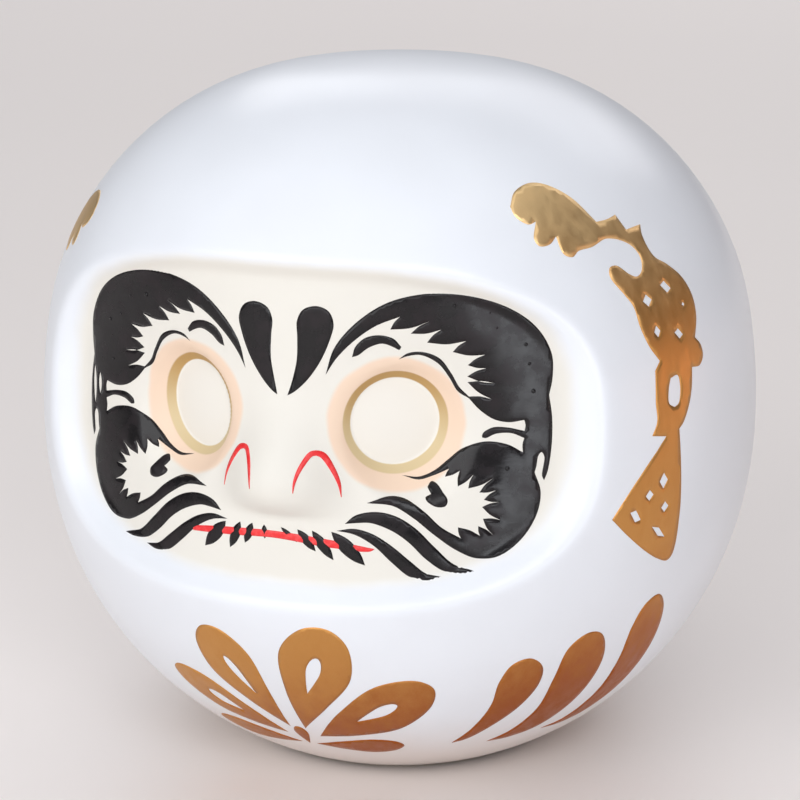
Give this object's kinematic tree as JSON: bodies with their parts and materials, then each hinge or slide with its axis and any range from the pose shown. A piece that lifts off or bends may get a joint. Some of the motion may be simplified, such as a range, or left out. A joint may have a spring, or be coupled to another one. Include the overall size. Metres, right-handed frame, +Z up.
{
  "type": "daruma doll",
  "caption": "Hollow round self-righting doll of moulded pulp with a sunk face, blank eyes and a clay weight in its flat foot.",
  "frame": {"origin": "middle of the underside, on the table and on the axis the body is turned about", "axes": "+Z up, the face looks along -Y, +X is to the doll's left"},
  "size_m": [0.12, 0.1178, 0.1159],
  "materials": {
    "painted_pulp": "satin",
    "painted_paper": "satin",
    "lining_paper": "matte",
    "painted_clay": "satin",
    "card": "matte"
  },
  "bodies": {
    "root": {"front_shell": "painted_pulp", "rear_shell": "painted_pulp", "inner_joint_strip": "lining_paper", "outer_joint_strip": "painted_paper", "base_joint_ring": "painted_paper", "base_weight": "painted_clay", "base_card": "card"}
  },
  "joints": []
}
